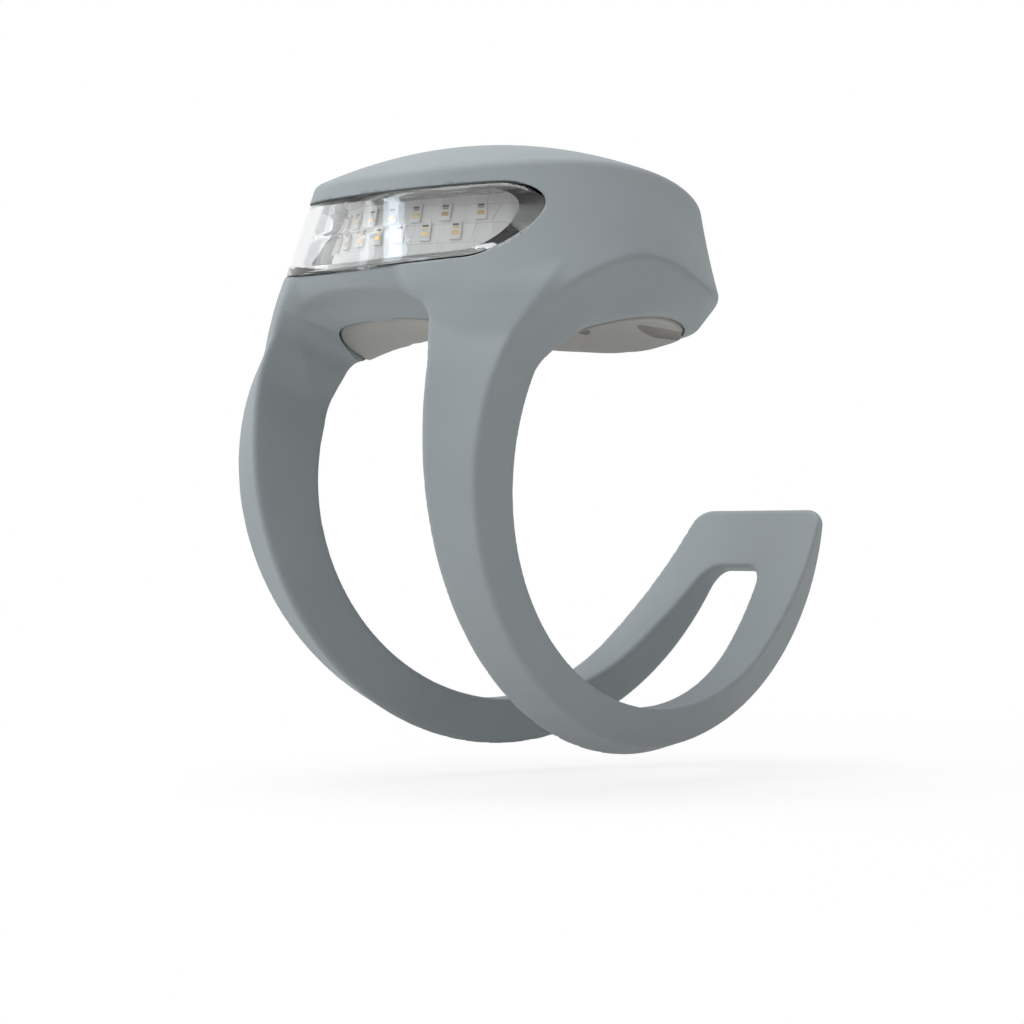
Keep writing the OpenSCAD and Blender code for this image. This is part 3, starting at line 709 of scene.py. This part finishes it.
def chip_tree(name, material):
    """A tree that stands a box of a given size on every point, turned as the point says."""
    tree = bpy.data.node_groups.new(name, "GeometryNodeTree")
    socket(tree, "Geometry", "NodeSocketGeometry")
    for size in ("Width", "Thickness", "Length", "Shift"):
        socket(tree, size)
    tree.interface.new_socket(name="Geometry", in_out="OUTPUT", socket_type="NodeSocketGeometry")
    start = add(tree, "NodeGroupInput")
    size = add(
        tree,
        "ShaderNodeCombineXYZ",
        links={
            "X": start.outputs["Width"],
            "Y": start.outputs["Thickness"],
            "Z": start.outputs["Length"],
        },
    )
    box = add(tree, "GeometryNodeMeshCube", links={"Size": size.outputs["Vector"]})
    thick = {0: start.outputs["Thickness"]}
    back = add(tree, "ShaderNodeMath", {"operation": "MULTIPLY"}, thick)
    back.inputs[1].default_value = -0.5
    offset = {"Y": back.outputs[0], "Z": start.outputs["Shift"]}
    shift = add(tree, "ShaderNodeCombineXYZ", links=offset)
    shifted = {"Geometry": box.outputs["Mesh"], "Translation": shift.outputs["Vector"]}
    move = add(tree, "GeometryNodeTransform", links=shifted)
    turn = add(tree, "GeometryNodeInputNamedAttribute", {"data_type": "FLOAT_VECTOR"}, Name="turn")
    stand = add(
        tree,
        "GeometryNodeInstanceOnPoints",
        links={
            "Points": start.outputs["Geometry"],
            "Instance": move.outputs["Geometry"],
            "Rotation": turn.outputs["Attribute"],
        },
    )
    instances = {"Geometry": stand.outputs["Instances"]}
    real = add(tree, "GeometryNodeRealizeInstances", links=instances)
    chips = {"Geometry": real.outputs["Geometry"]}
    paint = add(tree, "GeometryNodeSetMaterial", links=chips, Material=material)
    add(tree, "NodeGroupOutput", links={"Geometry": paint.outputs["Geometry"]})
    return tree


LIGHT_PITCH = 2.0
BOARD_DEPTH = 3.05  # how far the board's face lies behind the pod's front wall


def chip_row(name, count, height, tree, width, thickness, length, shift):
    """One row of chips as a plain mesh, from points on the bent board."""
    places = [
        board_point(LIGHT_PITCH * (i - (count - 1) / 2), height, BOARD_DEPTH) for i in range(count)
    ]
    mesh = bpy.data.meshes.new(name)
    mesh.from_pydata([Vector(p[0]) * MM for p in places], [], [])
    turns = mesh.attributes.new("turn", "FLOAT_VECTOR", "POINT")
    for i, (_, turn, lean) in enumerate(places):
        turns.data[i].vector = (lean, 0, turn)
    row = new_object(mesh)
    chips = row.modifiers.new("chips", "NODES")
    chips.node_group = tree
    values = {"Width": width, "Thickness": thickness, "Length": length, "Shift": shift}
    for item in tree.interface.items_tree:
        if item.item_type == "SOCKET" and item.in_out == "INPUT" and item.name in values:
            chips[item.identifier] = values[item.name] * MM
    depsgraph = bpy.context.evaluated_depsgraph_get()
    result = bpy.data.meshes.new_from_object(row.evaluated_get(depsgraph))
    row.modifiers.remove(chips)
    row.data = result
    return row


# Moulded epoxy with a milky core, gold-plated pads and a dark gallium die. Each size is a width, a
# thickness, a length up the board and a shift up from the middle of the body.
epoxy = mottled("milky_epoxy", "#E6E4E0", "#EEECE9", 4000, Roughness=0.25, IOR=1.5)
pad_gold = mottled("pad_gold", "#D6BC86", "#C6A768", 5000, 0.01, Roughness=0.3, Metallic=1.0)
die_dark = mottled("dark_die", "#2B2A2C", "#3B3836", 6000, Roughness=0.25, IOR=1.5)
for row_name, count, height in (("upper", 9, 18.35), ("lower", 8, 17.0)):
    node = row_name + "_leds"
    for part, finish, size in (
        ("bodies", epoxy, (0.76, 0.16, 1.3, 0.0)),
        ("pads", pad_gold, (0.48, 0.2, 0.28, -0.18)),
        ("far_pads", pad_gold, (0.4, 0.19, 0.12, 0.24)),
        ("dies", die_dark, (0.44, 0.2, 0.12, 0.42)),
    ):
        tree = chip_tree(row_name + part, finish)
        row = chip_row(row_name + "_light_" + part, count, height, tree, *size)
        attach(row, "light")
        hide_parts(node)

# Coin cell in its tray: nickel-plated steel can, rolled and brushed, in a black tray with two
# gold-plated springs. The brush marks are about 0.1 mm apart and run one way.
steel, shader = new_material("brushed_nickel_steel", Roughness=0.28, Metallic=1.0)
place = add(steel, "ShaderNodeTexCoord")
along_x = add(steel, "ShaderNodeMapping", links={"Vector": place.outputs["Object"]})
along_x.inputs["Scale"].default_value = (0.04, 1, 1)
brushed = {"Vector": along_x.outputs["Vector"]}
brush = add(steel, "ShaderNodeTexNoise", links=brushed, Scale=9000, Detail=2)
tone = add(steel, "ShaderNodeMix", {"data_type": "RGBA"}, {0: brush.outputs["Fac"]})
tone.inputs[6].default_value = colour("#B4B6B7")
tone.inputs[7].default_value = colour("#CFD0D0")
marks = add(steel, "ShaderNodeBump", links={"Height": brush.outputs["Fac"]}, Strength=0.2)
marks.inputs["Distance"].default_value = 0.01 * MM
steel.node_tree.links.new(tone.outputs[2], shader.inputs["Base Color"])
steel.node_tree.links.new(marks.outputs["Normal"], shader.inputs["Normal"])
dress("coin_cell", steel)
tray_black = mottled("black_tray_abs", "#232426", "#2C2E30", 9000, 0.01, Roughness=0.5, IOR=1.53)
dress("battery_tray", tray_black)
spring_gold = mottled(
    "gold_plated_bronze", "#C9A04B", "#D8B463", 5000, 0.005, Roughness=0.25, Metallic=1.0
)
dress("positive_contact", spring_gold)
dress("negative_contact", spring_gold)

# Main board: green glass-epoxy with a woven look under the mask, 0.4 mm a thread, and its small
# parts, soldered on: moulded black packages with a dull face, glazed resistors, brown ceramic
# capacitors and an ivory ribbon socket.
board_green, shader = new_material("green_glass_epoxy", Roughness=0.35, IOR=1.5)
place = add(board_green, "ShaderNodeTexCoord")
on_board = {"Vector": place.outputs["Object"]}
weave = add(board_green, "ShaderNodeTexChecker", links=on_board, Scale=2500)
weave.inputs["Color1"].default_value = colour("#1F6B45")
weave.inputs["Color2"].default_value = colour("#236F49")
board_green.node_tree.links.new(weave.outputs["Color"], shader.inputs["Base Color"])
dress("main_board", board_green)
package = mottled(
    "black_moulding_compound", "#1C1C1E", "#29292B", 12000, 0.01, Roughness=0.55, IOR=1.55
)
glaze = mottled("black_resistor_glaze", "#17171A", "#222226", 12000, Roughness=0.3)
ceramic = mottled("brown_ceramic", "#8F7350", "#A08460", 10000, 0.005, Roughness=0.5, IOR=1.6)
nylon = mottled("ivory_socket_nylon", "#DCD6C6", "#E6E1D3", 5000, 0.01, Roughness=0.45)
dress("controller_chip", package)
dress("driver_transistors", package)
dress("led_resistors", glaze)
dress("capacitors", ceramic)
dress("flex_connector", nylon)

# Button chain: a black moulded button under the soft crown pushes the red stem of a switch in a
# pressed steel case. All of it is hidden, and the grain is 0.1 to 0.2 mm.
steel_case = mottled(
    "pressed_steel", "#B9BABB", "#C9CACB", 7000, 0.005, Roughness=0.3, Metallic=1.0
)
stem_red = mottled("red_nylon", "#A8261C", "#B43327", 6000, 0.01, Roughness=0.4, IOR=1.53)
button_black = mottled(
    "black_button_abs", "#202123", "#2A2B2D", 9000, 0.01, Roughness=0.45, IOR=1.53
)
dress("tact_switch", steel_case)
dress("switch_stem", stem_red)
dress("push_button", button_black)


# Battery cover: a thick hard plate that closes the underside, moulded in grey ABS with a fine spark
# texture. Its lower face is the groove that sits on the tube, with a thumb-nail recess at its edge.
# Its round spigot pushes up into the housing, through the black rubber seal that stays there.
def cover_outline(share, lift, drawn_in=0.0, count=180):
    """A ring of the groove's surface at a share of the cover's outline, lifted off the surface."""
    ring = []
    for x, y, _ in cover_ring(0, -drawn_in, count):
        x, y = share * x, HEAD_Y + share * (y - HEAD_Y)
        ring.append((x, y, float(underside_height(x, y)) + lift))
    return ring


def nail_recess(x, y, r, sink, length):
    """A round-ended scoop along X in the groove's surface, sunk below it by a little."""
    turns = [math.pi / 2 * (1 - step / 8) for step in range(1, 9)]
    near = [(x - r * math.sin(turn), r * math.cos(turn)) for turn in turns]
    far = [(x + length + r * math.sin(turn), r * math.cos(turn)) for turn in turns[::-1]]
    if length:
        middle = [(x + length * i / 5, r) for i in range(1, 5)]
    else:
        middle, far = [], far[1:]  # the ends meet in one ring
    return [
        [
            (at, y - out * math.sin(a), float(underside_height(at, y)) - sink + out * math.cos(a))
            for a in (2 * math.pi * i / 32 for i in range(32))
        ]
        for at, out in near + middle + far
    ]


SPIGOT_R, SPIGOT_Y, SPIGOT_TOP = 9.8, -5, 14.25
PLATE_TOP = 13.38
plate_top = cover_ring(PLATE_TOP, 0, 180)
spigot = [
    (-SPIGOT_R * math.sin(t), SPIGOT_Y + SPIGOT_R * math.cos(t))
    for t in (2 * math.pi * i / 180 for i in range(180))
]
top = [[(x, y, z) for x, y in spigot] for z in (SPIGOT_TOP, PLATE_TOP)] + [plate_top]
edge = [cover_outline(1, 0.3), cover_outline(1, 0.15, 0.03), cover_outline(1, 0.04, 0.13)]
groove = [cover_outline(1, 0, 0.3)]
groove += [cover_outline(share, 0) for share in (0.9, 0.8, 0.7, 0.6, 0.5, 0.4, 0.3, 0.2, 0.1, 0.03)]
cover = new_object(closed_loft("battery_plate", top + edge + groove))
nail_scoop = nail_recess(x=5.0, y=2.7, r=1.05, sink=0.55, length=4.5)
small_scoop = nail_recess(x=-2.1, y=2.4, r=0.75, sink=0.3, length=0)
cut(cover, closed_loft("nail_recess", nail_scoop))
cut(cover, closed_loft("small_recess", small_scoop))
mend(cover)
cover.data.set_sharp_from_angle(angle=math.radians(24))
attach(cover, "cover")
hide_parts("battery_cover")
cover_grey = mottled("grey_abs", "#807F7B", "#868581", 6000, 0.02, Roughness=0.5, IOR=1.53)
seal_black = mottled("black_nitrile", "#1D1D1E", "#272728", 7000, 0.02, Roughness=0.6, IOR=1.5)
finish_piece(cover, cover_grey)
dress("cover_seal", seal_black)


# Studio: a white paper floor, a broad soft light above, two window-like strips on the left, weak
# fills and one small spark. The background is white to the camera and to what mirrors it or is
# seen through, and the floor keeps the lamp's own shadow.
bpy.context.scene.view_settings.view_transform = "Standard"
world = bpy.data.worlds.new("world")
bpy.context.scene.world = world
world.use_nodes = True
dim = world.node_tree.nodes["Background"]
dim.inputs["Color"].default_value = (1, 1, 1, 1)
dim.inputs["Strength"].default_value = 0.38
white = add(world, "ShaderNodeBackground", Color=(1, 1, 1, 1), Strength=1.0)


def seen_directly(owner):
    """1 for rays from the camera and for those that a mirroring or a clear surface sends on."""
    ray = add(owner, "ShaderNodeLightPath")
    maximum = {"operation": "MAXIMUM"}
    pair = {0: ray.outputs["Is Camera Ray"], 1: ray.outputs["Is Glossy Ray"]}
    first = add(owner, "ShaderNodeMath", maximum, pair)
    pair = {0: first.outputs[0], 1: ray.outputs["Is Transmission Ray"]}
    return add(owner, "ShaderNodeMath", maximum, pair).outputs[0]


either = add(
    world,
    "ShaderNodeMixShader",
    links={0: seen_directly(world), 1: dim.outputs[0], 2: white.outputs[0]},
)
world_output = world.node_tree.nodes["World Output"]
world.node_tree.links.new(either.outputs[0], world_output.inputs["Surface"])


def soft_light(name, place, size, radiance, tint=(1, 1, 1)):
    """A rectangular light that looks at the lamp, as bright as radiance times a white wall."""
    data = bpy.data.lights.new(name, "AREA")
    data.shape = "RECTANGLE"
    data.size, data.size_y = size
    data.energy = radiance * math.pi * size[0] * size[1]
    data.color = tint
    lamp = bpy.data.objects.new(name, data)
    lamp.location = place
    aim = Vector((0, -0.01, 0.01)) - Vector(place)
    lamp.rotation_euler = aim.to_track_quat("-Z", "Y").to_euler()
    bpy.context.collection.objects.link(lamp)


soft_light("top_light", (-0.03, -0.06, 0.42), (0.36, 0.36), 3.9)
soft_light("window_strip", (-0.15, -0.38, 0.25), (0.07, 0.3), 6.4, (0.8, 0.89, 1))
soft_light("dim_strip", (-0.25, -0.33, 0.25), (0.04, 0.26), 2.5, (0.88, 0.94, 1))
soft_light("left_fill", (-0.38, -0.28, 0.1), (0.3, 0.3), 1.3)
soft_light("side_fill", (0.4, -0.36, 0.3), (0.3, 0.3), 0.4, (0.95, 0.98, 1))
soft_light("low_front_fill", (0.02, -0.5, 0.02), (0.5, 0.14), 1.0, (1, 0.98, 0.95))
soft_light("spark", (0.228, -0.384, 0.27), (0.014, 0.07), 20)

FLOOR_HALF, FLOOR_Z = 1.5, -0.0215  # in metres
corners = [(-1, -1), (1, -1), (1, 1), (-1, 1)]
floor_mesh = bpy.data.meshes.new("studio_floor")
floor_mesh.from_pydata(
    [(FLOOR_HALF * x, FLOOR_HALF * y, FLOOR_Z) for x, y in corners], [], [(0, 1, 2, 3)]
)
floor = new_object(floor_mesh)
paper, shader = new_material("white_paper", Roughness=0.9)
shader.inputs["Base Color"].default_value = colour("#ECEAE7")
place = add(paper, "ShaderNodeTexCoord")
reach = add(
    paper, "ShaderNodeVectorMath", {"operation": "LENGTH"}, {0: place.outputs["Object"]}
)
# The paper's own shade and shadow show near the lamp and fade to plain white further out.
fade = add(
    paper,
    "ShaderNodeMapRange",
    links={0: reach.outputs["Value"]},
    From_Min=0.03,
    From_Max=0.09,
    To_Min=0.82,
    To_Max=1.0,
)
share = add(
    paper,
    "ShaderNodeMath",
    {"operation": "MULTIPLY"},
    {0: seen_directly(paper), 1: fade.outputs[0]},
)
glow = add(paper, "ShaderNodeEmission", Color=(1, 1, 1, 1), Strength=1.0)
blend = add(
    paper,
    "ShaderNodeMixShader",
    links={0: share.outputs[0], 1: shader.outputs[0], 2: glow.outputs[0]},
)
paper_output = paper.node_tree.nodes["Material Output"]
paper.node_tree.links.new(blend.outputs[0], paper_output.inputs["Surface"])
finish_piece(floor, paper)
